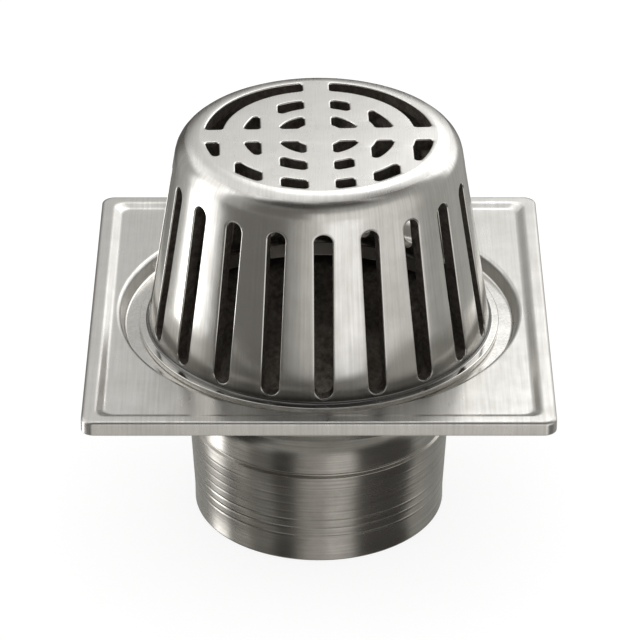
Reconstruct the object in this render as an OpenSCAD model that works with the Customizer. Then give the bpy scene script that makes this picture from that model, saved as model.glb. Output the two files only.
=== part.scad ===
// Flat roof drain: a square flanged body with a funnel and a pipe outlet,
// and a slotted dome strainer that lifts out of the recess in the flange.
// Millimetres, +Z up, origin at the centre of the outlet's lower end.

/* [Flange] */
// Width of the square flange
flange_w = 108; // [104:1:150]
// Height of the flange edge, rim included
flange_t = 3.6; // [3:0.1:6]
// Corner radius of the flange
corner_r = 2.8; // [1.5:0.1:8]
// Width of the raised rim
rim_w = 3.6; // [2:0.1:5]
// Height of the rim above the flange floor
rim_h = 1; // [0.4:0.1:1.5]
// Rounding of the rim's outer upper edge
rim_round = 0.7; // [0.3:0.1:1.2]

/* [Recess] */
// Depth of the dome's ledge below the flange floor
ledge_drop = 3.5; // [2.5:0.1:6]
// Width of the ledge's seat under the dome's foot ring
seat_w = 4.3; // [4:0.1:5]
// Gap between the foot ring and the recess wall at the ledge
foot_gap = 3.4; // [1:0.1:5]
// How much wider the recess is at the floor than at the ledge
recess_flare = 1.2; // [0.2:0.1:2]
// Rounding of the recess lip
lip_round = 1.2; // [0.4:0.1:1.6]
// Wall of the pan round the recess
pan_wall = 3; // [2:0.1:5]

/* [Funnel and outlet] */
// Depth of the straight throat
throat_h = 3.5; // [3.2:0.1:6]
// Height of the bell-mouthed funnel below the throat
funnel_h = 16; // [13:0.5:30]
// Outside diameter of the outlet, the size of its pipe fitting
outlet_d = 60.3; // [50:0.1:66]
// Wall of the outlet
outlet_wall = 3.15; // [2:0.05:5]
// Length of the outlet at that diameter
outlet_len = 9.3; // [6:0.1:30]
// Height of the slope from the collar to the outlet
outlet_slope_h = 4; // [2:0.1:8]
// Length of the collar between the bell and that slope
collar_len = 16; // [10:0.5:30]
// How far the collar stands out from the outlet
collar_step = 1; // [0.5:0.1:2]
// Width of the turned groove between bell and collar
groove_w = 1.4; // [0.8:0.1:3]
// Depth of that groove
groove_depth = 0.6; // [0.3:0.1:1]
// Height of the groove above the slope
groove_z = 10.4; // [4:0.1:12]

/* [Dome strainer] */
// Height of the dome above its ledge
dome_h = 49.9; // [40:0.1:70]
// Outside diameter of the dome wall at its foot
dome_d = 81.8; // [76:0.1:84]
// Outside diameter that the wall's slope reaches at the top
crown_d = 65.6; // [60:0.1:74]
// Rounding of the shoulder
shoulder_r = 5.8; // [3.5:0.1:6.5]
// Thickness of the dome wall
dome_wall = 2.8; // [2:0.1:3]
// Thickness of the top plate
crown_t = 3; // [2:0.1:5]
// Rounding inside the shoulder
inner_round = 3; // [1:0.1:4]
// How far the foot ring stands out from the wall
foot_out = 1.9; // [0.8:0.1:2.4]
// Thickness of the foot ring
foot_t = 1.4; // [1:0.1:2]
// Depth of the locating lip that hangs in the throat
lip_depth = 2.5; // [1.5:0.1:3]
// Thickness of the locating lip
lip_t = 2; // [1.5:0.1:3]
// Clearance round the locating lip
lip_clearance = 0.4; // [0.2:0.05:0.8]
// Turn of the dome in its recess, in degrees
dome_turn = 1.7; // [-9:0.1:9]

/* [Side slots] */
// Number of slots round the dome
slot_count = 20; // [12:1:24]
// Width of a slot
slot_w = 4.2; // [3:0.1:5]
// Height of the slots' lower end above the ledge
slot_low = 2.6; // [2.2:0.1:8]
// Distance from the top of the dome to the slots' upper end
slot_high = 8.1; // [7:0.1:14]

/* [Top grate] */
// Width of the ring slots
ring_w = 4.1; // [2.5:0.1:4.5]
// Land between the outer ring slot and the rounded shoulder
shoulder_land = 1.2; // [0.6:0.1:3]
// Land between the outer and the middle ring slot
outer_land = 4.8; // [3:0.1:6]
// Land between the middle and the inner ring slot
inner_land = 3.8; // [2.5:0.1:5]
// Width of the two ribs that cross at the centre
cross_rib_w = 6.3; // [4:0.1:8]
// Width of the ribs beside the centre
side_rib_w = 4.3; // [3:0.1:6]
// Distance of those ribs from the centre
side_rib_x = 10.6; // [9:0.1:12]
// Width of the ribs near the edge
edge_rib_w = 3.6; // [2:0.1:5]
// Distance of those ribs from the centre
edge_rib_x = 20.6; // [18:0.1:21.5]
// How far the casting's side and edge ribs sit to the left
rib_shift = -0.8; // [-1.2:0.1:1.2]

/* [Hidden] */
$fn = 96;
over = 1;                 // how far a cutter runs past a face
crossing = 1.001;         // lets a rounding cross its edges instead of only touching them
metal = [0.78, 0.78, 0.76];

// radii
outlet_r = outlet_d / 2;
bore_r = outlet_r - outlet_wall;
collar_r = outlet_r + collar_step;
dome_r = dome_d / 2;
foot_r = dome_r + foot_out;
throat_r = foot_r - seat_w;
ledge_r = foot_r + foot_gap;
recess_r = ledge_r + recess_flare;
pan_r = recess_r + pan_wall;

// heights, from the outlet's lower end upwards
slope_z = outlet_len;
collar_z = slope_z + outlet_slope_h;
bell_z = collar_z + collar_len;
throat_z = bell_z + funnel_h;
ledge_z = throat_z + throat_h;
floor_z = ledge_z + ledge_drop;
rim_z = floor_z + rim_h;
flange_z = rim_z - flange_t;
crown_z = ledge_z + dome_h;

// bell mouth: one arc centre for the inside and the outside of the funnel
funnel_run = throat_r - bore_r;
funnel_arc = (funnel_run * funnel_run + funnel_h * funnel_h) / (2 * funnel_run);
bell_arc_r = bore_r + funnel_arc;
bell_arc = bell_arc_r - collar_r;

// wall of the dome
wall_lean = atan2(dome_r - crown_d / 2, dome_h);
wall_run = dome_wall / cos(wall_lean);
crown_flat_r = crown_d / 2 - shoulder_r * tan((90 - wall_lean) / 2);
lip_r = throat_r - lip_clearance;

// middle radii of the ring slots, from the shoulder inwards
ring_outer_r = crown_flat_r - shoulder_land - ring_w / 2;
ring_middle_r = ring_outer_r - outer_land - ring_w;
ring_inner_r = ring_middle_r - inner_land - ring_w;

function wall_r(h) = dome_r - h * tan(wall_lean);
function ahead(angle) = [cos(angle), sin(angle)];

// Two straight edges leave a corner at angles a and b. This is the sliver that
// a rounding of radius r takes off there, with some space outside the corner.
module corner_sliver(corner, a, b, r) {
    half = abs(b - a) / 2;
    middle = (a + b) / 2;
    reach = r / tan(half);
    centre = corner + r / sin(half) * ahead(middle);
    outside = corner - over * ahead(middle);
    difference() {
        polygon([outside, corner + reach * ahead(a), centre, corner + reach * ahead(b)]);
        translate(centre) circle(r * crossing);
    }
}

module rounded_square(w, r) {
    square([w, w - 2 * r], center = true);
    square([w - 2 * r, w], center = true);
    for (x = [-1, 1], y = [-1, 1])
        translate([x, y] * (w / 2 - r)) circle(r);
}

// Cross-section of the flange with its upper edges rounded
module flange_section() {
    difference() {
        translate([-flange_w / 2, flange_z]) square([flange_w, flange_t]);
        corner_sliver([flange_w / 2, rim_z], 180, 270, rim_round);
        corner_sliver([-flange_w / 2, rim_z], 270, 360, rim_round);
    }
}

module flange() {
    difference() {
        intersection() {
            translate([0, 0, flange_z - over])
                linear_extrude(flange_t + 2 * over) rounded_square(flange_w, corner_r);
            rotate([90, 0, 0])
                linear_extrude(flange_w + 2 * over, center = true) flange_section();
            rotate([90, 0, 90])
                linear_extrude(flange_w + 2 * over, center = true) flange_section();
        }
        translate([0, 0, floor_z])
            linear_extrude(rim_h + over)
                rounded_square(flange_w - 2 * rim_w, corner_r);
    }
}

// Outside of everything below the flange
module bell_section() {
    square([outlet_r, collar_z]);
    polygon([[0, slope_z], [outlet_r, slope_z], [collar_r, collar_z], [0, collar_z]]);
    difference() {
        translate([0, collar_z]) square([collar_r, collar_len]);
        translate([collar_r - groove_depth, collar_z + groove_z])
            square([groove_depth + over, groove_w]);
    }
    difference() {
        translate([0, bell_z]) square([bell_arc_r, bell_arc]);
        translate([bell_arc_r, bell_z]) circle(bell_arc);
    }
    polygon([
        [0, bell_z + bell_arc],
        [bell_arc_r, bell_z + bell_arc],
        [pan_r, ledge_z - pan_wall / 2],
        [pan_r, flange_z],
        [0, flange_z]
    ]);
}

// Waterway through the body: bore, bell mouth, throat and recess
module waterway_section() {
    wall_angle = atan2(ledge_z - floor_z, ledge_r - recess_r) + 360;
    translate([0, -over]) square([bore_r, bell_z + over]);
    difference() {
        translate([0, bell_z]) square([throat_r, funnel_h]);
        translate([bell_arc_r, bell_z]) circle(funnel_arc);
    }
    translate([0, throat_z]) square([throat_r, throat_h]);
    polygon([
        [0, ledge_z],
        [ledge_r, ledge_z],
        [recess_r, floor_z],
        [recess_r, rim_z + over],
        [0, rim_z + over]
    ]);
    corner_sliver([recess_r, floor_z], wall_angle, 360, lip_round);
}

module drain_body() {
    color(metal)
        difference() {
            union() {
                flange();
                rotate_extrude() bell_section();
            }
            rotate_extrude() waterway_section();
        }
}

// Outside of the dome: tapered wall, rounded shoulder and flat crown
module dome_outline() {
    difference() {
        polygon([[0, 0], [dome_r, 0], [crown_d / 2, dome_h], [0, dome_h]]);
        corner_sliver([crown_d / 2, dome_h], 180, 270 + wall_lean, shoulder_r);
    }
}

// Cavity of the dome, one wall thickness inside the outline
module cavity_outline() {
    cavity_h = dome_h - crown_t;
    difference() {
        polygon([
            [0, -over],
            [wall_r(-over) - wall_run, -over],
            [wall_r(cavity_h) - wall_run, cavity_h],
            [0, cavity_h]
        ]);
        corner_sliver([wall_r(cavity_h) - wall_run, cavity_h], 180, 270 + wall_lean, inner_round);
    }
}

// Shell of the dome with its foot ring and the lip that centres it
module dome_section() {
    difference() {
        dome_outline();
        cavity_outline();
    }
    translate([lip_r - lip_t, 0]) square([foot_r - lip_r + lip_t, foot_t]);
    translate([lip_r - lip_t, -lip_depth]) square([lip_t, lip_depth + foot_t]);
}

// One upright slot with round ends, cut outwards through the wall
module side_slot() {
    low = slot_low + slot_w / 2;
    high = dome_h - slot_high - slot_w / 2;
    translate([crown_d / 4, 0, 0])
        rotate([90, 0, 90])
            linear_extrude(dome_r) {
                translate([0, low]) circle(d = slot_w);
                translate([0, high]) circle(d = slot_w);
                translate([-slot_w / 2, low]) square([slot_w, high - low]);
            }
}

module ring(middle_r) {
    difference() {
        circle(middle_r + ring_w / 2);
        circle(middle_r - ring_w / 2);
    }
}

// A pair of ribs that run front to back, left and right of the centre
module rib_pair(x, w, from_y, to_y) {
    for (side = [-1, 1])
        translate([side * x + rib_shift - w / 2, from_y]) square([w, to_y - from_y]);
}

// Openings of the crown: three slotted rings, barred by straight ribs.
// The rear half of the outer ring is left as two long slots.
module grate_openings() {
    reach = ring_outer_r + ring_w;
    difference() {
        union() {
            ring(ring_inner_r);
            difference() {
                ring(ring_middle_r);
                rib_pair(side_rib_x, side_rib_w, -reach, reach);
            }
            difference() {
                ring(ring_outer_r);
                rib_pair(side_rib_x, side_rib_w, -reach, 0);
                rib_pair(edge_rib_x, edge_rib_w, -reach, 0);
            }
        }
        square([cross_rib_w, 2 * reach], center = true);
        square([2 * reach, cross_rib_w], center = true);
    }
}

module dome_strainer() {
    color(metal)
        translate([0, 0, ledge_z])
            rotate(dome_turn)
                difference() {
                    rotate_extrude() dome_section();
                    for (i = [0:slot_count - 1])
                        rotate(270 + i * 360 / slot_count) side_slot();
                    translate([0, 0, dome_h - crown_t - over])
                        linear_extrude(crown_t + 2 * over) grate_openings();
                }
}

drain_body();
dome_strainer();
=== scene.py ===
# Flat roof drain: a square flanged body and a slotted dome strainer, both cast
# in stainless steel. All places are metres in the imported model's frame.
import math

import bmesh
import bpy
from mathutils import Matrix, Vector


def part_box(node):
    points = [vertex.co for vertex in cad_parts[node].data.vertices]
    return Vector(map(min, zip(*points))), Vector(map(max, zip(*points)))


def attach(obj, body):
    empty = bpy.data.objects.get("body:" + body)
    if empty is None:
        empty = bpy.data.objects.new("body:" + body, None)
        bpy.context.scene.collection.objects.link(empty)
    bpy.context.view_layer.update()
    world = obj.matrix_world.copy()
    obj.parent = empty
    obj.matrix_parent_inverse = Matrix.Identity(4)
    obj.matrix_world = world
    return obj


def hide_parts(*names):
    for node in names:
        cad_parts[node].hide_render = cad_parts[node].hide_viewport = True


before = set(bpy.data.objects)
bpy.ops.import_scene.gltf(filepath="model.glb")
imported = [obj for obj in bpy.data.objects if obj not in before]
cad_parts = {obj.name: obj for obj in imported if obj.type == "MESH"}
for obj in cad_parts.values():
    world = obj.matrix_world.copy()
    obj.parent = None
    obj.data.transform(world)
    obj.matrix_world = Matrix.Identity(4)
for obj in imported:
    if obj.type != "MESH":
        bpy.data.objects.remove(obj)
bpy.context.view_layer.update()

MM = 0.001
CENTRE = (0, 0, 0)

# ---------------------------------------------------------------- sizes
# The nodes' boxes give the overall sizes, the rest is the castings' detail.
# Names that end in ROUND are the radii of softened edges, and in HALF half widths.
body_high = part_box("drain_body")[1]
dome_low, dome_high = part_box("dome_strainer")

# flange: a plate with a raised rim, a soft step down from it and a flat floor
FLANGE_HALF = body_high.x
FLANGE_T = 3.6 * MM
FLANGE_ROUND = 0.5 * MM
CORNER_R = 2.8 * MM
RIM_Z = body_high.z
RIM_W = 3.6 * MM
RIM_H = 1.0 * MM
RIM_ROUND = 0.85 * MM
RIM_IN = FLANGE_HALF - RIM_W
STEP_TOP = RIM_IN + 0.35 * MM
STEP_FOOT = RIM_IN - 1.35 * MM
STEP_ROUND = 2.0 * MM
FLOOR_HALF = RIM_IN - 1.9 * MM
UNDER_HALF = FLANGE_HALF - 1.0 * MM
FLOOR_Z = RIM_Z - RIM_H
FLANGE_Z = RIM_Z - FLANGE_T

# recess with the ledge that the dome stands on, and the pan round them
LEDGE_DROP = 3.5 * MM
LEDGE_Z = FLOOR_Z - LEDGE_DROP
LEDGE_R = 46.2 * MM
LEDGE_ROUND = 0.7 * MM
RECESS_R = 47.4 * MM
RECESS_ROUND = 1.2 * MM
FLOOR_R = RECESS_R + 0.95 * MM
PAN_WALL = 3.0 * MM
PAN_R = RECESS_R + PAN_WALL
PAN_ROUND = 1.0 * MM
UNDER_R = PAN_R + 1.0 * MM
UNDER_ROUND = 0.8 * MM

# throat, and the bell whose inside sweeps from the throat to the bore
THROAT_R = 38.5 * MM
THROAT_Z = LEDGE_Z - 3.5 * MM
THROAT_ROUND = 0.3 * MM
BORE_R = 27.0 * MM
BELL_Z = THROAT_Z - 16.0 * MM
BELL_RUN = THROAT_R - BORE_R
BELL_RISE = THROAT_Z - BELL_Z
BELL_SWEEP_R = (BELL_RUN ** 2 + BELL_RISE ** 2) / (2 * BELL_RUN)

# outlet: it narrows a little under its collar and has one groove and seven fine rings
OUTLET_R = 30.15 * MM
OUTLET_WALL_R = (BORE_R + OUTLET_R) / 2
OUTLET_ROUND = 0.5 * MM
COLLAR_R = 31.15 * MM
SLOPE_LOW = 4.0 * MM
SLOPE_HIGH = 22.0 * MM
GROOVE_LOW = 23.7 * MM
GROOVE_W = 1.4 * MM
GROOVE_DEPTH = 0.6 * MM
RING_TOP = 20.6 * MM
RING_PITCH = 2.27 * MM
RING_HALF = 0.4 * MM
RING_DEPTHS = [0.015 * MM] * 4 + [0.04 * MM] * 3

# dome: a tapered shell with a rounded shoulder
CROWN_Z = dome_high.z
DOME_R = 40.9 * MM
CROWN_R = 32.8 * MM
SHOULDER_R = 5.8 * MM
DOME_WALL = 2.8 * MM
CROWN_T = 3.0 * MM
CEILING_Z = CROWN_Z - CROWN_T
INNER_ROUND = 3.0 * MM
DOME_TURN = math.radians(1.7)
LEAN = math.atan2(DOME_R - CROWN_R, CROWN_Z - LEDGE_Z)
WALL_RUN = DOME_WALL / math.cos(LEAN)
CROWN_FLAT_R = CROWN_R - SHOULDER_R * math.tan((math.pi / 2 - LEAN) / 2)
FILL_R = CROWN_FLAT_R - 0.3 * MM

# foot ring and the locating lip under it
FOOT_R = dome_high.x
FOOT_T = 1.4 * MM
FOOT_TOP = LEDGE_Z + FOOT_T
FOOT_ROUND = 0.3 * MM
FILLET_OUT = 0.05 * MM
FILLET_ROUND = 0.75 * MM
LIP_R = 38.1 * MM
LIP_T = 2.0 * MM
LIP_Z = dome_low.z
LIP_CORNER = 0.2 * MM

# the straight part of the wall, outside and inside, and its slots
WALL_LOW = FOOT_TOP + 0.7 * MM
WALL_HIGH = CROWN_Z - SHOULDER_R * (1 - math.sin(LEAN))
INNER_LOW = FOOT_TOP + 0.3 * MM
INNER_HIGH = CEILING_Z - INNER_ROUND * (1 - math.sin(LEAN))
SLOT_COUNT = 20
SLOT_HALF = 2.1 * MM
SLOT_LOW = LEDGE_Z + 2.6 * MM
SLOT_HIGH = CROWN_Z - 8.1 * MM

# grate: three rings of openings, barred by a cross and by ribs from front to back
RING_SLOT_HALF = 2.05 * MM
CROSS_HALF = 3.15 * MM
SIDE_RIB_X = 10.6 * MM
SIDE_RIB_HALF = 2.15 * MM
EDGE_RIB_X = 20.6 * MM
EDGE_RIB_HALF = 1.8 * MM
RIB_SHIFT = -0.8 * MM
SHOULDER_LAND = 1.2 * MM
OUTER_LAND = 4.8 * MM
INNER_LAND = 3.8 * MM
GRATE_CORNER = 0.9 * MM
OUTER_RING_R = CROWN_FLAT_R - SHOULDER_LAND - RING_SLOT_HALF
MIDDLE_RING_R = OUTER_RING_R - OUTER_LAND - 2 * RING_SLOT_HALF
INNER_RING_R = MIDDLE_RING_R - INNER_LAND - 2 * RING_SLOT_HALF

# Rows round the soft edge of a slot or opening: how far each stands out, and how deep it lies.
SOFT_EDGE = 0.35 * MM
SOFT_ROWS = [
    (SOFT_EDGE * (1 - math.sin(turn)), SOFT_EDGE * (1 - math.cos(turn)))
    for turn in map(math.radians, (30, 60, 90))
]

# where one finish ends and the next one starts
EDGE_BAND = 0.3 * MM
UNDER_GAP = 0.1 * MM
LEDGE_GAP = 0.2 * MM
LEDGE_PAST = 0.6 * MM
CROWN_BAND = 1 * MM
FOOT_PAST = 0.02 * MM
CAVITY_SIDE = 0.32 * MM
CAVITY_TOP = 0.4 * MM

# mesh density
BODY_AROUND = 192
CORNER_STEPS = 8
BELL_STEPS = 14
CELL_AROUND = 16
CELL_UP = 10
# A panel's rows of points, as shares of the way from its border to its slot.
PANEL_ROWS = (0, 0.3, 0.6, 0.85, 1)
ARC_STEP = math.radians(12)
GRATE_STEP = 1.2 * MM
GRATE_CORNER_STEPS = 5
# A rounding that takes up its whole edge is this much smaller, so the edge keeps a length.
WHOLE_EDGE = 0.9999

# mesh tools
TOUCH = 0.02 * MM
MERGE = 0.01 * MM
SHARP_ANGLE = math.radians(40)
FILL_SCALE = 100


# ---------------------------------------------------------------- tools
def near(a, b, within=TOUCH):
    return abs(a - b) < within


def around(point):
    return math.hypot(point.x, point.y)


def on_square(point, half):
    """Whether a point lies on the flange's loop of that half width, rounded corners included."""
    corner = CORNER_R * half / FLANGE_HALF
    x = max(abs(point.x) - half + corner, 0)
    y = max(abs(point.y) - half + corner, 0)
    return near(math.hypot(x, y), corner)


def nothing_selected():
    """The mesh that is open in edit mode, with nothing selected."""
    mesh = bmesh.from_edit_mesh(bpy.context.object.data)
    for element in (*mesh.faces, *mesh.edges, *mesh.verts):
        element.select_set(False)
    return mesh


def select_where(test):
    """Selects the vertices whose place passes the test, and what lies between them."""
    mesh = nothing_selected()
    for vertex in mesh.verts:
        if test(vertex.co):
            vertex.select_set(True)
    mesh.select_flush(True)
    bmesh.update_edit_mesh(bpy.context.object.data)


def select_edges(test):
    """Selects the edges that pass the test."""
    mesh = nothing_selected()
    for edge in mesh.edges:
        if test(edge):
            edge.select_set(True)
    bmesh.update_edit_mesh(bpy.context.object.data)


def outline(corners):
    """Turns (radius, height, rounding) corners into the points of a turned outline."""
    points = []
    for i, (r, z, soft) in enumerate(corners):
        if soft == 0 or i in (0, len(corners) - 1):
            points.append((r, z))
            continue
        here = Vector((r, z))
        back = (Vector(corners[i - 1][:2]) - here).normalized()
        ahead = (Vector(corners[i + 1][:2]) - here).normalized()
        half = back.angle(ahead) / 2
        centre = here + (back + ahead).normalized() * soft / math.sin(half)
        turn = math.pi - 2 * half
        steps = max(2, math.ceil(turn / ARC_STEP))
        first = here + back * soft / math.tan(half) - centre
        way = math.copysign(1, back.cross(ahead)) * -1
        for k in range(steps + 1):
            t = way * turn * k / steps
            spot = centre + Vector((
                first.x * math.cos(t) - first.y * math.sin(t),
                first.x * math.sin(t) + first.y * math.cos(t),
            ))
            points.append((spot.x, spot.y))
    return points


def bow(x, y, r, start, end, steps):
    """Points on an arc about (x, y), both ends included."""
    turns = [start + (end - start) * i / steps for i in range(steps + 1)]
    return [(x + r * math.cos(t), y + r * math.sin(t)) for t in turns]


def grow(points):
    """Extrudes the selected loop, which lies at the first point, through the other points."""
    for (r, z), (to_r, to_z) in zip(points, points[1:]):
        bpy.ops.mesh.extrude_region_move(TRANSFORM_OT_translate={"value": (0, 0, to_z - z)})
        bpy.ops.transform.resize(value=(to_r / r, to_r / r, 1), center_override=CENTRE)


def start_circle(name, r, z):
    """Adds a circle as a new piece and opens it in edit mode."""
    bpy.ops.object.select_all(action="DESELECT")
    bpy.ops.mesh.primitive_circle_add(vertices=BODY_AROUND, radius=r, location=(0, 0, z))
    bpy.context.object.name = name
    bpy.ops.object.transform_apply()
    bpy.ops.object.mode_set(mode="EDIT")
    bpy.ops.mesh.select_all(action="SELECT")


def start_mesh(name, points, faces):
    """Makes a piece from points and faces and opens it in edit mode with all of it selected."""
    mesh = bpy.data.meshes.new(name)
    mesh.from_pydata(points, [], faces)
    piece = bpy.data.objects.new(name, mesh)
    bpy.context.scene.collection.objects.link(piece)
    bpy.ops.object.select_all(action="DESELECT")
    piece.select_set(True)
    bpy.context.view_layer.objects.active = piece
    bpy.ops.object.mode_set(mode="EDIT")
    bpy.ops.mesh.select_all(action="SELECT")
    return piece


def loop_faces(loops, count, base):
    """Quads between closed loops of count points each, the first of which starts at base."""
    faces = []
    for start in range(base, base + (loops - 1) * count, count):
        for i in range(count):
            after = (i + 1) % count
            faces.append((start + i, start + after, start + count + after, start + count + i))
    return faces


def finish_mesh():
    """Closes the seams, turns the faces outwards and shades them with their true normals."""
    piece = bpy.context.object
    bpy.ops.mesh.select_all(action="SELECT")
    bpy.ops.mesh.remove_doubles(threshold=MERGE)
    bpy.ops.mesh.normals_make_consistent(inside=False)
    bpy.ops.object.mode_set(mode="OBJECT")
    bpy.ops.object.shade_smooth_by_angle(angle=SHARP_ANGLE)
    weigh = piece.modifiers.new("flat faces stay flat", "WEIGHTED_NORMAL")
    weigh.keep_sharp = True
    bpy.ops.object.modifier_apply(modifier=weigh.name)
    return piece


# ---------------------------------------------------------------- drain body
def bell_inside():
    """Waterway of the body, from the outlet's lower end up to the flange floor."""
    low = outline([
        (OUTLET_WALL_R, 0, 0),
        (BORE_R, 0, OUTLET_ROUND),
        (BORE_R, BELL_Z, 0),
    ])
    end = math.asin(BELL_RISE / BELL_SWEEP_R)
    bell = []
    for i in range(1, BELL_STEPS + 1):
        turn = end * i / BELL_STEPS
        r = BORE_R + BELL_SWEEP_R * (1 - math.cos(turn))
        bell.append((r, BELL_Z + BELL_SWEEP_R * math.sin(turn)))
    top = outline([
        (THROAT_R, THROAT_Z, 0),
        (THROAT_R, LEDGE_Z, THROAT_ROUND),
        (LEDGE_R, LEDGE_Z, LEDGE_ROUND),
        (RECESS_R, FLOOR_Z, RECESS_ROUND),
        (FLOOR_R, FLOOR_Z, 0),
    ])
    return low + bell + top[1:]


def outlet_r(z):
    """Outer radius of the outlet below the bell, which narrows softly under the collar."""
    share = min(1, max(0, (SLOPE_HIGH - z) / (SLOPE_HIGH - SLOPE_LOW)))
    return COLLAR_R + (OUTLET_R - COLLAR_R) * share


def turned_groove(z, depth, half):
    """A shallow round-bottomed groove cut by a lathe tool, from its upper side down."""
    land = 1.2 * half
    root = 0.25 * half
    edge_round = 0.25 * half
    root_round = 0.3 * half
    return [
        (outlet_r(z + land), z + land, 0),
        (outlet_r(z + half), z + half, edge_round),
        (outlet_r(z) - depth, z + root, root_round),
        (outlet_r(z) - depth, z - root, root_round),
        (outlet_r(z - half), z - half, edge_round),
        (outlet_r(z - land), z - land, 0),
    ]


def bell_outside():
    """Outside of the body, from the flange's underside down to the outlet's lower end."""
    sweep_centre = BORE_R + BELL_SWEEP_R
    sweep_r = sweep_centre - COLLAR_R
    pan = outline([
        (UNDER_R, FLANGE_Z, 0),
        (PAN_R, FLANGE_Z, UNDER_ROUND),
        (PAN_R, LEDGE_Z - PAN_WALL / 2, PAN_ROUND),
        (sweep_centre, BELL_Z + sweep_r, 0),
    ])
    bell = []
    for i in range(1, BELL_STEPS + 1):
        turn = math.pi / 2 * i / BELL_STEPS
        r = sweep_centre - sweep_r * math.sin(turn)
        bell.append((r, BELL_Z + sweep_r * math.cos(turn)))
    groove_z = GROOVE_LOW + GROOVE_W / 2
    rings = outline(turned_groove(groove_z, GROOVE_DEPTH, GROOVE_W / 2))
    for i, depth in enumerate(RING_DEPTHS):
        rings += outline(turned_groove(RING_TOP - i * RING_PITCH, depth, RING_HALF))
    low = outline([
        (OUTLET_R, SLOPE_LOW, 0),
        (OUTLET_R, 0, OUTLET_ROUND),
        (OUTLET_WALL_R, 0, 0),
    ])
    return pan + bell + rings + low


def make_drain_body():
    """The inside and the outside grow from circles and the flange's plate from a square."""
    inside = bell_inside()
    start_circle("drain_body_casting", *inside[0])
    grow(inside)

    outside = bell_outside()
    bpy.ops.mesh.primitive_circle_add(
        vertices=BODY_AROUND, radius=UNDER_R, location=(0, 0, FLANGE_Z)
    )
    grow(outside)

    # The square's corners are rounded, and its sides cut so that it has as many points as a circle.
    bpy.ops.mesh.primitive_plane_add(size=2 * FLANGE_HALF, location=(0, 0, FLANGE_Z))
    bpy.ops.mesh.bevel(offset=CORNER_R, segments=CORNER_STEPS, affect="VERTICES")
    bpy.ops.mesh.delete(type="ONLY_FACE")
    select_edges(lambda edge: edge.calc_length() > FLANGE_HALF)
    bpy.ops.mesh.subdivide(number_cuts=BODY_AROUND // 4 - CORNER_STEPS - 1)
    plate = outline([
        (UNDER_HALF, FLANGE_Z, 0),
        (FLANGE_HALF, FLANGE_Z, FLANGE_ROUND),
        (FLANGE_HALF, RIM_Z, RIM_ROUND),
        (STEP_TOP, RIM_Z, STEP_ROUND),
        (STEP_FOOT, FLOOR_Z, STEP_ROUND),
        (FLOOR_HALF, FLOOR_Z, 0),
    ])
    select_where(lambda p: near(p.z, FLANGE_Z) and on_square(p, FLANGE_HALF))
    shrink = UNDER_HALF / FLANGE_HALF
    bpy.ops.transform.resize(value=(shrink, shrink, 1), center_override=CENTRE)
    grow(plate)

    # The flat floor and underside join the square loops to the round ones.
    for z, square, circle in (
        (FLOOR_Z, FLOOR_HALF, FLOOR_R),
        (FLANGE_Z, UNDER_HALF, UNDER_R),
    ):
        select_where(
            lambda p: near(p.z, z) and (near(around(p), circle) or on_square(p, square))
        )
        bpy.ops.mesh.bridge_edge_loops()
    return finish_mesh()


# ---------------------------------------------------------------- dome strainer
def wall_r(z):
    """Outer radius of the dome's tapered wall."""
    return DOME_R - (z - LEDGE_Z) * math.tan(LEAN)


def shell_r(z):
    """Outer radius of the dome at a height, its rounded shoulder included."""
    if z < WALL_HIGH:
        return wall_r(z)
    return CROWN_FLAT_R + math.sqrt(max(SHOULDER_R ** 2 - (z - CROWN_Z + SHOULDER_R) ** 2, 0))


def slot_loop(soft):
    """Outline of the slot from the front, wider by soft all round, as (x, z) points."""
    half = SLOT_HALF + soft
    low = SLOT_LOW + SLOT_HALF
    high = SLOT_HIGH - SLOT_HALF
    turns = [math.pi * i / CELL_AROUND for i in range(CELL_AROUND)]
    rises = [(high - low) * i / CELL_UP for i in range(CELL_UP)]
    return (
        [(-half * math.cos(t), low - half * math.sin(t)) for t in turns]
        + [(half, low + rise) for rise in rises]
        + [(half * math.cos(t), high + half * math.sin(t)) for t in turns]
        + [(-half, high - rise) for rise in rises]
    )


def border_loop(inset, low, high):
    """Outline of the panel round one slot, point for point beside the slot's own outline."""
    share = math.sin(math.pi / SLOT_COUNT)
    steps = [2 * i / CELL_AROUND - 1 for i in range(CELL_AROUND)]
    levels = [low + (high - low) * i / CELL_UP for i in range(CELL_UP + 1)]
    half = [(wall_r(z) - inset) * share for z in levels]
    return (
        [(half[0] * step, low) for step in steps]
        + [(half[i], levels[i]) for i in range(CELL_UP)]
        + [(-half[-1] * step, high) for step in steps]
        + [(-half[i], levels[i]) for i in range(CELL_UP, 0, -1)]
    )


def between(outer, inner, share):
    """The loop that lies a share of the way from the outer one to the inner one."""
    return [
        (a[0] + (b[0] - a[0]) * share, a[1] + (b[1] - a[1]) * share)
        for a, b in zip(outer, inner)
    ]


def on_wall(loop, inset, depth=0):
    """Lays (x, z) points on the front of the wall's cone, and then depth behind it."""
    return [(x, depth - math.sqrt((wall_r(z) - inset) ** 2 - x ** 2), z) for x, z in loop]


def make_wall_cell():
    """One slot with the wall round it: outer panel, softened slot edge, slot wall, inner panel."""
    outer = border_loop(0, WALL_LOW, WALL_HIGH)
    outer_slot = slot_loop(SOFT_EDGE)
    inner = border_loop(WALL_RUN, INNER_LOW, INNER_HIGH)
    inner_slot = slot_loop(0)
    loops = [on_wall(between(outer, outer_slot, share), 0) for share in PANEL_ROWS]
    loops += [on_wall(slot_loop(soft), 0, depth) for soft, depth in SOFT_ROWS]
    loops += [
        on_wall(between(inner, inner_slot, share), WALL_RUN) for share in reversed(PANEL_ROWS)
    ]
    faces = loop_faces(len(loops), len(outer), 0)
    return start_mesh("dome_strainer_casting", sum(loops, []), faces)


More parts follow.
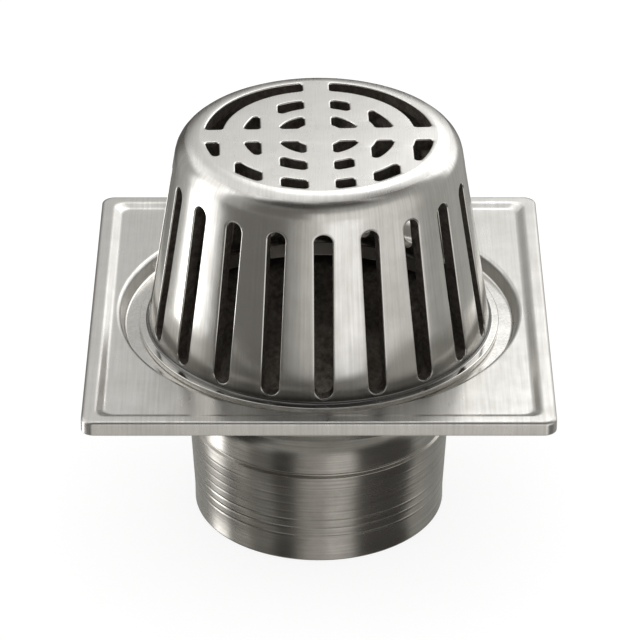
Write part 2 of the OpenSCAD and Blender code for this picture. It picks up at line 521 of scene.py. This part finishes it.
def opening_outline(ring_r, rib, next_rib, soft):
    """Outline of one opening of the grate in the first quadrant, wider by soft all round.

    It runs from a rib's edge to the next rib's edge, or to the cross rib. The centres of its
    rounded corners are the corners of the same opening, narrower by the rounding.
    """
    r_in = ring_r - RING_SLOT_HALF + GRATE_CORNER
    r_out = ring_r + RING_SLOT_HALF - GRATE_CORNER
    start = rib + GRATE_CORNER
    side = CROSS_HALF + GRATE_CORNER
    reach = GRATE_CORNER + soft
    end_normal = 0 if next_rib else -math.pi / 2

    def ends(r):
        last = math.acos((next_rib - GRATE_CORNER) / r) if next_rib else math.asin(side / r)
        return math.acos(start / r), last

    def corner(r, turn, normal, next_normal):
        x, y = r * math.cos(turn), r * math.sin(turn)
        return bow(x, y, reach, normal, next_normal, GRATE_CORNER_STEPS)

    first, last = ends(r_out)
    steps = max(2, round(r_out * (first - last) / GRATE_STEP))
    points = bow(0, 0, r_out + reach, first, last, steps)[1:-1]
    points += corner(r_out, last, last, end_normal)
    if math.hypot(start, side) < r_in:
        in_first, in_last = ends(r_in)
        steps = max(2, round(r_in * (in_first - in_last) / GRATE_STEP))
        points += corner(r_in, in_last, end_normal, in_last - math.pi)
        points += bow(0, 0, r_in - reach, in_last, in_first, steps)[1:-1]
        points += corner(r_in, in_first, in_first - math.pi, -math.pi)
    else:
        points += bow(start, side, reach, end_normal, -math.pi, GRATE_CORNER_STEPS)
    return points + corner(r_out, first, -math.pi, first - 2 * math.pi)


def make_grate():
    """The openings of the crown: soft upper edges and straight walls, without the plate between."""
    rows = [(SOFT_EDGE, 0), *SOFT_ROWS, (0, CROWN_T)]
    points, faces = [], []
    for x in (-1, 1):
        side_rib = SIDE_RIB_X + x * RIB_SHIFT
        edge_rib = EDGE_RIB_X + x * RIB_SHIFT
        side_in, side_out = side_rib - SIDE_RIB_HALF, side_rib + SIDE_RIB_HALF
        edge_in, edge_out = edge_rib - EDGE_RIB_HALF, edge_rib + EDGE_RIB_HALF
        openings = [
            (1, OUTER_RING_R, CROSS_HALF, None),
            (-1, OUTER_RING_R, CROSS_HALF, side_in),
            (-1, OUTER_RING_R, side_out, edge_in),
            (-1, OUTER_RING_R, edge_out, None),
        ]
        for y in (-1, 1):
            openings += [
                (y, MIDDLE_RING_R, CROSS_HALF, side_in),
                (y, MIDDLE_RING_R, side_out, None),
                (y, INNER_RING_R, CROSS_HALF, None),
            ]
        for y, ring_r, rib, next_rib in openings:
            loops = [opening_outline(ring_r, rib, next_rib, soft) for soft, depth in rows]
            faces += loop_faces(len(rows), len(loops[0]), len(points))
            for loop, (soft, depth) in zip(loops, rows):
                points += [(x * px, y * py, CROWN_Z - depth) for px, py in loop]
    grate = start_mesh("grate", points, faces)
    bpy.ops.object.mode_set(mode="OBJECT")
    return grate


def make_dome():
    """The wall is one cell spun round, shoulder and foot grow from it, and the crown is filled."""
    wall = make_wall_cell()
    bpy.ops.mesh.spin(
        steps=SLOT_COUNT - 1, angle=2 * math.pi * (SLOT_COUNT - 1) / SLOT_COUNT,
        center=CENTRE, axis=(0, 0, 1), dupli=True,
    )
    bpy.ops.mesh.select_all(action="SELECT")
    bpy.ops.mesh.remove_doubles(threshold=MERGE)

    # shoulder, and the rounding inside it
    outer_top = wall_r(WALL_HIGH)
    shoulder = outline([
        (outer_top, WALL_HIGH, 0),
        (wall_r(CROWN_Z), CROWN_Z, SHOULDER_R * WHOLE_EDGE),
        (FILL_R, CROWN_Z, 0),
    ])
    select_where(lambda p: near(p.z, WALL_HIGH) and near(around(p), outer_top))
    grow(shoulder)
    inner_top = wall_r(INNER_HIGH) - WALL_RUN
    cavity = outline([
        (inner_top, INNER_HIGH, 0),
        (wall_r(CEILING_Z) - WALL_RUN, CEILING_Z, INNER_ROUND * WHOLE_EDGE),
        (FILL_R, CEILING_Z, 0),
    ])
    select_where(lambda p: near(p.z, INNER_HIGH) and near(around(p), inner_top))
    grow(cavity)

    # foot ring and locating lip, from the outside of the wall round to its inside
    outer_foot = wall_r(WALL_LOW)
    foot = outline([
        (outer_foot, WALL_LOW, 0),
        (wall_r(FOOT_TOP) + FILLET_OUT, FOOT_TOP, FILLET_ROUND),
        (FOOT_R, FOOT_TOP, FOOT_ROUND),
        (FOOT_R, LEDGE_Z, FOOT_ROUND),
        (LIP_R, LEDGE_Z, LIP_CORNER),
        (LIP_R, LIP_Z, FOOT_ROUND),
        (LIP_R - LIP_T, LIP_Z, FOOT_ROUND),
        (LIP_R - LIP_T, FOOT_TOP, FOOT_ROUND),
        (wall_r(FOOT_TOP) - WALL_RUN, FOOT_TOP, LIP_CORNER),
        (wall_r(INNER_LOW) - WALL_RUN, INNER_LOW, 0),
    ])
    select_where(lambda p: near(p.z, WALL_LOW) and near(around(p), outer_foot))
    grow(foot)
    bpy.ops.object.mode_set(mode="OBJECT")

    # crown
    grate = make_grate()
    bpy.ops.object.select_all(action="DESELECT")
    grate.select_set(True)
    wall.select_set(True)
    bpy.context.view_layer.objects.active = wall
    bpy.ops.object.join()
    bpy.ops.object.mode_set(mode="EDIT")
    # The fill operator takes points nearer than 0.03 mm for one, so it works on an enlarged mesh.
    bpy.ops.mesh.select_all(action="SELECT")
    bpy.ops.transform.resize(value=(FILL_SCALE,) * 3, center_override=CENTRE)
    for z in (CROWN_Z, CEILING_Z):
        select_edges(
            lambda edge: edge.is_boundary
            and all(near(end.co.z / FILL_SCALE, z) for end in edge.verts)
        )
        bpy.ops.mesh.fill()
    bpy.ops.mesh.select_all(action="SELECT")
    bpy.ops.transform.resize(value=(1 / FILL_SCALE,) * 3, center_override=CENTRE)
    piece = finish_mesh()
    bpy.ops.object.select_all(action="DESELECT")
    piece.select_set(True)
    piece.rotation_euler.z = DOME_TURN
    bpy.ops.object.transform_apply()
    return piece


# ---------------------------------------------------------------- materials
# Two slow patterns that all the steels share: clouds in the tone, and the casting's unevenness.
CLOUD_SIZE = 9 * MM
WAVE_SIZE = 6 * MM
# The part of grain and cloud together that runs from the dark colour to the light one.
TONE_LOW = 0.75
TONE_HIGH = 1.25
# What the darkest and the lightest steel multiply the material's roughness by.
DULLER = 1.2
SMOOTHER = 0.85


def linear(hex_colour):
    """Linear RGBA of an sRGB hex colour."""
    parts = [int(hex_colour[i:i + 2], 16) / 255 for i in (1, 3, 5)]
    return [c / 12.92 if c <= 0.04045 else ((c + 0.055) / 1.055) ** 2.4 for c in parts] + [1]


def add(tree, kind, inputs=None, **settings):
    """Adds a node with its settings, and fills or links its sockets."""
    node = tree.nodes.new(kind)
    for name, value in settings.items():
        setattr(node, name, value)
    for socket, value in (inputs or {}).items():
        if isinstance(value, bpy.types.NodeSocket):
            tree.links.new(value, node.inputs[socket])
        else:
            node.inputs[socket].default_value = value
    return node


def stainless(
    name, light, dark, roughness, lines, stretch, line_depth, wave_depth, polar=False, foot=()
):
    """Cast stainless steel that was finished in one direction.

    light and dark are the steel between and in the finishing lines, and lines is their spacing.
    stretch multiplies the pattern's place along x, y and z, so a small factor draws the lines out
    that way. line_depth and wave_depth are the heights of the lines and of the casting's slow
    unevenness under them. polar lays the lines up and down the dome's round wall. Each row of foot
    is a low and a high height and the share of the colour that is left at the low one: painted
    shade that darkens the steel towards the foot and into its corner.
    """
    material = bpy.data.materials.new(name)
    material.use_nodes = True
    tree = material.node_tree
    shader = tree.nodes["Principled BSDF"]
    place = add(tree, "ShaderNodeTexCoord").outputs["Object"]
    if polar:
        flat = add(
            tree, "ShaderNodeVectorMath", {0: place, 1: (1, 1, 0)}, operation="MULTIPLY"
        ).outputs[0]
        aside = add(
            tree, "ShaderNodeVectorMath", {0: flat}, operation="NORMALIZE"
        ).outputs[0]
        upright = add(
            tree, "ShaderNodeVectorMath", {0: place, 1: (0, 0, stretch[2])}, operation="MULTIPLY"
        ).outputs[0]
        grain_place = add(
            tree, "ShaderNodeVectorMath", {0: aside, 1: (DOME_R,) * 3, 2: upright},
            operation="MULTIPLY_ADD",
        ).outputs[0]
    else:
        grain_place = add(
            tree, "ShaderNodeVectorMath", {0: place, 1: stretch}, operation="MULTIPLY"
        ).outputs[0]
    grain = add(tree, "ShaderNodeTexNoise", {
        "Vector": grain_place, "Scale": 1 / lines, "Detail": 3, "Roughness": 0.6,
    }).outputs["Fac"]
    cloud = add(tree, "ShaderNodeTexNoise", {
        "Vector": place, "Scale": 1 / CLOUD_SIZE, "Detail": 4, "Roughness": 0.6,
    }).outputs["Fac"]
    both = add(tree, "ShaderNodeMath", {0: grain, 1: cloud}, operation="ADD").outputs[0]
    tone = add(tree, "ShaderNodeMapRange", {
        "Value": both, "From Min": TONE_LOW, "From Max": TONE_HIGH,
    }).outputs["Result"]
    colour = add(
        tree, "ShaderNodeMix", {0: tone, 6: linear(dark), 7: linear(light)}, data_type="RGBA"
    ).outputs[2]
    # Painted shade: each foot row darkens the colour from its high height down to its low one.
    for low, high, left in foot:
        level = add(tree, "ShaderNodeSeparateXYZ", {0: place}).outputs["Z"]
        share = add(tree, "ShaderNodeMapRange", {
            "Value": level, "From Min": low, "From Max": high, "To Min": left,
        }, interpolation_type="SMOOTHSTEP").outputs["Result"]
        colour = add(
            tree, "ShaderNodeVectorMath", {0: colour, "Scale": share}, operation="SCALE"
        ).outputs[0]
    gloss = add(tree, "ShaderNodeMapRange", {
        "Value": tone, "To Min": roughness * DULLER, "To Max": roughness * SMOOTHER,
    }).outputs["Result"]
    waves = add(tree, "ShaderNodeTexNoise", {
        "Vector": place, "Scale": 1 / WAVE_SIZE, "Detail": 1, "Roughness": 0.4,
    }).outputs["Fac"]
    uneven = add(tree, "ShaderNodeBump", {
        "Height": waves, "Distance": wave_depth, "Strength": 1,
    }).outputs[0]
    lined = add(tree, "ShaderNodeBump", {
        "Height": grain, "Distance": line_depth, "Strength": 1, "Normal": uneven,
    }).outputs[0]
    shader.inputs["Metallic"].default_value = 1
    for socket, value in (("Base Color", colour), ("Roughness", gloss), ("Normal", lined)):
        tree.links.new(value, shader.inputs[socket])
    return material


# Investment-cast stainless steel, bead-blasted and linished front to back: a satin sheen with
# fine lines along y on the flange.
satin = stainless(
    "satin_stainless_steel", light="#d4d2ce", dark="#c2c0bb", roughness=0.32,
    lines=0.6 * MM, stretch=(1, 0.03, 0.03), line_depth=0.002 * MM, wave_depth=0.04 * MM,
)
# The crown and the flange's outer edge went over the belt once more: brighter.
linished = stainless(
    "linished_stainless_steel", light="#e2e0dc", dark="#d0cec9", roughness=0.3,
    lines=0.6 * MM, stretch=(1, 0.03, 0.03), line_depth=0.002 * MM, wave_depth=0.04 * MM,
)
# The dome's wall was belt-finished up and down: upright lines. Towards the foot its colour darkens,
# most in the corner: painted shade.
belted = stainless(
    "belt_finished_stainless_steel", light="#e2e0dc", dark="#d2cfca", roughness=0.21,
    lines=0.8 * MM, stretch=(1, 1, 0.03), line_depth=0.003 * MM, wave_depth=0.05 * MM, polar=True,
    # painted shade: darker in the corner above the foot ring, and darker up the lower wall
    foot=(
        (LEDGE_Z + 2 * MM, LEDGE_Z + 3.6 * MM, 0.3),
        (LEDGE_Z + 3 * MM, LEDGE_Z + 19 * MM, 0.7),
    ),
)
# The ledge and the dome's foot ring, which bears on it, were faced on a lathe: smoother.
faced = stainless(
    "faced_stainless_steel", light="#d2d0cc", dark="#c0beb9", roughness=0.19,
    lines=0.6 * MM, stretch=(1, 1, 1), line_depth=0.001 * MM, wave_depth=0.03 * MM,
)
# The bell and outlet were turned on a lathe: fine rings round the axis. Their darker colour is
# painted shade under the flange.
turned = stainless(
    "turned_stainless_steel", light="#b3b0aa", dark="#99958f", roughness=0.23,
    lines=0.6 * MM, stretch=(0.02, 0.02, 1), line_depth=0.0015 * MM, wave_depth=0.03 * MM,
)
# Inside, the steel was left as cast and pickled: dull and slightly rough to the touch. Its dark
# colour is painted shade for the hollows inside the body and the dome.
as_cast = stainless(
    "as_cast_stainless_steel", light="#7c766f", dark="#544e48", roughness=0.6,
    lines=1.2 * MM, stretch=(1, 1, 1), line_depth=0.02 * MM, wave_depth=0.08 * MM,
)


# ---------------------------------------------------------------- finishes
# Each test takes a face's centre and normal.
def everywhere(p, n):
    return True


def flange_edge(p, n):
    return max(abs(p.x), abs(p.y)) > FLANGE_HALF - EDGE_BAND


def under_flange(p, n):
    return p.z < FLANGE_Z - UNDER_GAP


def recess(p, n):
    return around(p) < RECESS_R and LEDGE_Z - LEDGE_GAP < p.z


def ledge(p, n):
    return around(p) < LEDGE_R + LEDGE_PAST and near(p.z, LEDGE_Z, LEDGE_GAP)


def waterway(p, n):
    """Below the ledge, whatever looks at the axis or lies within the bore."""
    looks_in = p.x * n.x + p.y * n.y < 0
    return p.z < LEDGE_Z - LEDGE_GAP and (looks_in or around(p) < BORE_R)


def crown(p, n):
    return p.z > CROWN_Z - CROWN_BAND


def foot_ring(p, n):
    return p.z < FOOT_TOP + FOOT_PAST


def cavity_wall(p, n):
    """The inside of the dome, with the walls of its slots and openings."""
    inside = around(p) < shell_r(p.z) - CAVITY_SIDE
    return LEDGE_Z < p.z < CROWN_Z - CAVITY_TOP and inside


def assign(piece, material, test):
    """Gives a material to the faces that pass the test."""
    piece.data.materials.append(material)
    index = len(piece.data.materials) - 1
    for face in piece.data.polygons:
        if test(face.center, face.normal):
            face.material_index = index


# ---------------------------------------------------------------- pieces
drain_body = make_drain_body()
assign(drain_body, satin, everywhere)
assign(drain_body, linished, flange_edge)
# painted shade: everything under the flange gets the darker turned steel
assign(drain_body, turned, under_flange)
assign(drain_body, satin, recess)
assign(drain_body, faced, ledge)
# painted shade: the waterway gets the dark steel
assign(drain_body, as_cast, waterway)

dome_strainer = make_dome()
# the dome's wall steel carries painted shade towards its foot
assign(dome_strainer, belted, everywhere)
assign(dome_strainer, linished, crown)
assign(dome_strainer, faced, foot_ring)
# painted shade: the dome's inside and the walls of its slots and openings get the dark steel
assign(dome_strainer, as_cast, cavity_wall)

for piece, node, slot in (
    (drain_body, "drain_body", "body_steel"), (dome_strainer, "dome_strainer", "dome_steel")
):
    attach(piece, "root")
    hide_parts(node)


# ---------------------------------------------------------------- floor
scene = bpy.context.scene
WHITE = (1, 1, 1, 1)
FLOOR_SIZE = 6
FLOOR_GLOW = 1.06
SHADOW_SHARE = 0.22

bpy.ops.object.select_all(action="DESELECT")
bpy.ops.mesh.primitive_plane_add(size=FLOOR_SIZE)
floor = bpy.context.object
floor.name = "floor"

# White floor: most of it glows evenly, so the floor is as white as the backdrop, and the rest
# takes the object's shadow. Reflections look through it at the studio below.
white_floor = bpy.data.materials.new("white_floor")
white_floor.use_nodes = True
tree = white_floor.node_tree
tree.nodes.remove(tree.nodes["Principled BSDF"])
rays = add(tree, "ShaderNodeLightPath")
mirrored = add(tree, "ShaderNodeMath", {
    0: rays.outputs["Is Glossy Ray"], 1: rays.outputs["Is Transmission Ray"],
}, operation="MAXIMUM").outputs[0]
matt = add(tree, "ShaderNodeBsdfDiffuse", {"Color": WHITE}).outputs[0]
glow = add(tree, "ShaderNodeEmission", {"Color": WHITE, "Strength": FLOOR_GLOW}).outputs[0]
lit_floor = add(tree, "ShaderNodeMixShader", {0: SHADOW_SHARE, 1: glow, 2: matt}).outputs[0]
through = add(tree, "ShaderNodeBsdfTransparent").outputs[0]
seen = add(tree, "ShaderNodeMixShader", {0: mirrored, 1: lit_floor, 2: through}).outputs[0]
tree.links.new(seen, tree.nodes["Material Output"].inputs["Surface"])
floor.data.materials.append(white_floor)


# ---------------------------------------------------------------- studio
# The studio round the drain, as its steel mirrors it: soft boxes and dark cards, each with its
# azimuth (0 is the front, 90 the right) and half width, its height and half height, the softness
# of its edges, all in degrees, and its colour and level. Later ones hide earlier ones.
STUDIO_GREY = "#a6a6a2"
STUDIO_PANELS = (
    # a soft box overhead, a grey card high on the right, a soft box and a dark card at the back
    (0, 200, 90, 36, 8, "#ffffff", 1.15),
    (112, 40, 60, 16, 8, "#7c7a77", 1.0),
    (186, 64, 46, 19, 12, "#ffffff", 0.85),
    (188, 28, -6, 20, 8, "#54514e", 1.0),
    # in front: a grey card on the left, dark ones high up, pale ones in the middle and right
    (-26, 32, 20, 20, 8, "#686561", 1.0),
    (-32, 36, 60, 17, 9, "#2a2826", 1.0),
    (30, 36, 66, 18, 9, "#423f3d", 1.0),
    (52, 26, 4, 26, 8, "#e6e4e2", 1.0),
    (14, 20, 10, 17, 8, "#eae8e6", 1.0),
    # left: a tall strip box, a small strong one below it and a dark card under both
    (-97, 15, 12, 36, 5, "#ffffff", 1.85),
    (-104, 10, -26, 8, 3, "#ffffff", 4.8),
    (-98, 32, -52, 16, 3, "#2c2a28", 1.0),
    # right: a pale card far down
    (108, 17, -53, 14, 4, "#eeece8", 1.0),
    # soft boxes at the rear corners
    (-122, 28, 36, 11, 7, "#ffffff", 1.3),
    (133, 14, 18, 16, 7, "#ffffff", 1.6),
    (154, 10, 12, 9, 5, "#ffffff", 1.3),
    (144, 26, 36, 13, 7, "#ffffff", 1.8),
    # what stands low in front: white and grey cards and dark gaps
    (-49, 28, -18, 18, 5, "#6a6864", 1.0),
    (-1, 11, -12, 10, 3, "#c6c4c0", 1.0),
    (18, 14, -13, 8, 5, "#ffffff", 1.2),
    (-32, 11, -34, 11, 4, "#2e2a27", 1.0),
    (-3, 11, -34, 10, 4, "#c0bdb9", 1.0),
    (19, 12, -34, 10, 4, "#eae8e5", 1.0),
    (64, 29, -35, 15, 4, "#3a3734", 1.0),
    (-75, 9, -32, 9, 4, "#c4c2be", 1.0),
)


def soft_band(tree, angle, middle, half, softness):
    """1 where the angle lies within half of the middle, 0 outside, with a soft edge."""
    off = add(tree, "ShaderNodeMath", {0: angle, 1: math.radians(middle)}, operation="SUBTRACT")
    away = add(tree, "ShaderNodeMath", {0: off.outputs[0]}, operation="ABSOLUTE")
    return add(tree, "ShaderNodeMapRange", {
        "Value": away.outputs[0],
        "From Min": math.radians(half + softness),
        "From Max": math.radians(half - softness),
    }, interpolation_type="SMOOTHSTEP").outputs["Result"]


world = bpy.data.worlds.new("studio")
scene.world = world
world.use_nodes = True
tree = world.node_tree
direction = add(tree, "ShaderNodeTexCoord").outputs["Generated"]
height = add(tree, "ShaderNodeSeparateXYZ", {0: direction}).outputs["Z"]
rise = add(tree, "ShaderNodeMath", {0: height}, operation="ARCSINE").outputs[0]
studio = linear(STUDIO_GREY)
for azimuth, half_width, lift, half_height, softness, colour, level in STUDIO_PANELS:
    c, s = math.cos(math.radians(azimuth)), math.sin(math.radians(azimuth))
    aside = add(
        tree, "ShaderNodeVectorMath", {0: direction, 1: (c, s, 0)}, operation="DOT_PRODUCT"
    ).outputs["Value"]
    ahead = add(
        tree, "ShaderNodeVectorMath", {0: direction, 1: (s, -c, 0)}, operation="DOT_PRODUCT"
    ).outputs["Value"]
    turn = add(tree, "ShaderNodeMath", {0: aside, 1: ahead}, operation="ARCTAN2").outputs[0]
    share = add(tree, "ShaderNodeMath", {
        0: soft_band(tree, turn, 0, half_width, softness),
        1: soft_band(tree, rise, lift, half_height, softness),
    }, operation="MULTIPLY").outputs[0]
    shown = [value * level for value in linear(colour)[:3]] + [1]
    studio = add(
        tree, "ShaderNodeMix", {0: share, 6: studio, 7: shown}, data_type="RGBA"
    ).outputs[2]

# Only mirror rays see the studio. All other rays find plain white.
rays = add(tree, "ShaderNodeLightPath")
mirrored = add(tree, "ShaderNodeMath", {
    0: rays.outputs["Is Glossy Ray"], 1: rays.outputs["Is Transmission Ray"],
}, operation="MAXIMUM").outputs[0]
lit = add(tree, "ShaderNodeMix", {0: mirrored, 6: WHITE, 7: studio}, data_type="RGBA").outputs[2]
background = tree.nodes["Background"]
tree.links.new(lit, background.inputs["Color"])
background.inputs["Strength"].default_value = 1


# ---------------------------------------------------------------- lamps
def soft_light(name, place, target, size, energy):
    """A square soft lamp that faces a point."""
    lamp = bpy.data.lights.new(name, "AREA")
    lamp.size = size
    lamp.energy = energy
    holder = bpy.data.objects.new(name, lamp)
    scene.collection.objects.link(holder)
    holder.location = place
    holder.rotation_mode = "QUATERNION"
    holder.rotation_quaternion = (Vector(target) - Vector(place)).to_track_quat("-Z", "Y")


soft_light(
    "crown_panel", place=(0.02, 0.2, 0.35), target=(0.01, -0.03, 0.09), size=0.14, energy=0.09
)
soft_light(
    "flange_panel", place=(0.11, 0.3, 0.3), target=(0.05, -0.05, 0.033), size=0.15, energy=0.078
)


# ---------------------------------------------------------------- camera
# VIEW_CENTRE is the axis at the height of the rim. The camera stands a number of flange widths
# from it, and looks at a point just below it.
CAMERA_RISE = math.radians(29.9)
CAMERA_WIDTHS = 8.64
CAMERA_DISTANCE = CAMERA_WIDTHS * 2 * FLANGE_HALF
VIEW_CENTRE = Vector((0, 0, 53.3 * MM))
AIM_OFFSET = Vector((0.26 * MM, 0, -4.44 * MM))
SENSOR_WIDTH = 36
LENS_LENGTH = 220.7
CLIP_START = 0.05

camera_data = bpy.data.cameras.new("camera")
camera_data.sensor_width = SENSOR_WIDTH
camera_data.lens = LENS_LENGTH
camera_data.clip_start = CLIP_START
camera = bpy.data.objects.new("camera", camera_data)
scene.collection.objects.link(camera)
scene.camera = camera
back = Vector((0, -math.cos(CAMERA_RISE), math.sin(CAMERA_RISE)))
camera.location = VIEW_CENTRE + back * CAMERA_DISTANCE
aim = VIEW_CENTRE + AIM_OFFSET
camera.rotation_mode = "QUATERNION"
camera.rotation_quaternion = (aim - camera.location).to_track_quat("-Z", "Y")
scene.view_settings.view_transform = "Standard"
